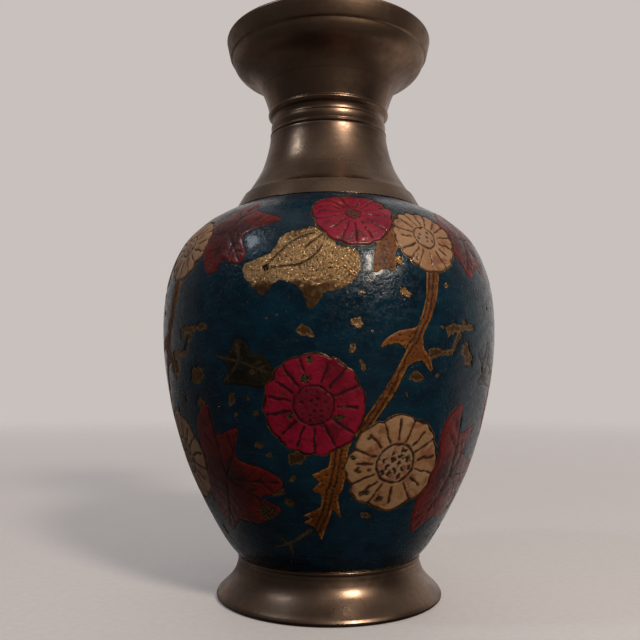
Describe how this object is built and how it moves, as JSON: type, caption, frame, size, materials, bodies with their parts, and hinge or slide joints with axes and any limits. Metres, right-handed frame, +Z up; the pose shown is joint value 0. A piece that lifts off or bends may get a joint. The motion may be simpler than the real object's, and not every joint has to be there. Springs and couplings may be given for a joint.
{
  "type": "cloisonne vase",
  "caption": "Baluster vase in turned brass with a flared foot and mouth and an enamelled flower design round the body, for cut flowers or display.",
  "frame": {"origin": "centre of the foot's underside, on the surface that the vase stands on", "axes": "+Z up along the axis that every piece is turned about; the front of the design faces -Y"},
  "size_m": [0.1206, 0.1206, 0.205],
  "materials": {
    "brass": "aged dark gold brass, turned and polished, with faint lathe marks",
    "blue_enamel": "glossy dark teal blue colour, hand rubbed, chipped down to the brass",
    "pink_enamel": "crimson pink colour, satin gloss, cut with dark engraved lines",
    "cream_enamel": "cream colour, satin, cut with brown engraved lines",
    "maroon_enamel": "brick red to maroon colour, glossy, with engraved veins",
    "green_enamel": "dark olive green colour, glossy, with engraved veins",
    "ochre_enamel": "translucent ochre brown colour over engraved brass"
  },
  "bodies": {
    "root": {"foot_ring": "brass", "base_disc": "brass", "body_lower": "brass", "body_upper": "brass", "neck_collar": "brass", "flared_mouth": "brass", "pink_flower_lower_1": "pink_enamel", "cream_flower_lower_1": "cream_enamel", "pink_flower_upper_1": "pink_enamel", "cream_flower_upper_1": "cream_enamel", "maroon_leaf_lower_1": "maroon_enamel", "maroon_leaf_upper_1": "maroon_enamel", "green_leaf_lower_1": "green_enamel", "ochre_bud_1": "ochre_enamel", "stem_upper_1": "ochre_enamel", "stem_lower_1": "ochre_enamel", "pink_flower_lower_2": "pink_enamel", "cream_flower_lower_2": "cream_enamel", "pink_flower_upper_2": "pink_enamel", "cream_flower_upper_2": "cream_enamel", "maroon_leaf_lower_2": "maroon_enamel", "maroon_leaf_upper_2": "maroon_enamel", "green_leaf_lower_2": "green_enamel", "green_leaf_upper_2": "green_enamel", "ochre_bud_2": "ochre_enamel", "stem_upper_2": "ochre_enamel", "stem_lower_2": "ochre_enamel", "pink_flower_lower_3": "pink_enamel", "cream_flower_lower_3": "cream_enamel", "pink_flower_upper_3": "pink_enamel", "cream_flower_upper_3": "cream_enamel", "maroon_leaf_lower_3": "maroon_enamel", "maroon_leaf_upper_3": "maroon_enamel", "green_leaf_lower_3": "green_enamel", "green_leaf_upper_3": "green_enamel", "ochre_bud_3": "ochre_enamel", "stem_upper_3": "ochre_enamel", "stem_lower_3": "ochre_enamel", "pink_flower_lower_4": "pink_enamel", "cream_flower_lower_4": "cream_enamel", "pink_flower_upper_4": "pink_enamel", "cream_flower_upper_4": "cream_enamel", "maroon_leaf_lower_4": "maroon_enamel", "maroon_leaf_upper_4": "maroon_enamel", "green_leaf_lower_4": "green_enamel", "green_leaf_upper_4": "green_enamel", "ochre_bud_4": "ochre_enamel", "stem_upper_4": "ochre_enamel", "stem_lower_4": "ochre_enamel", "enamel_ground": "blue_enamel"}
  },
  "joints": []
}
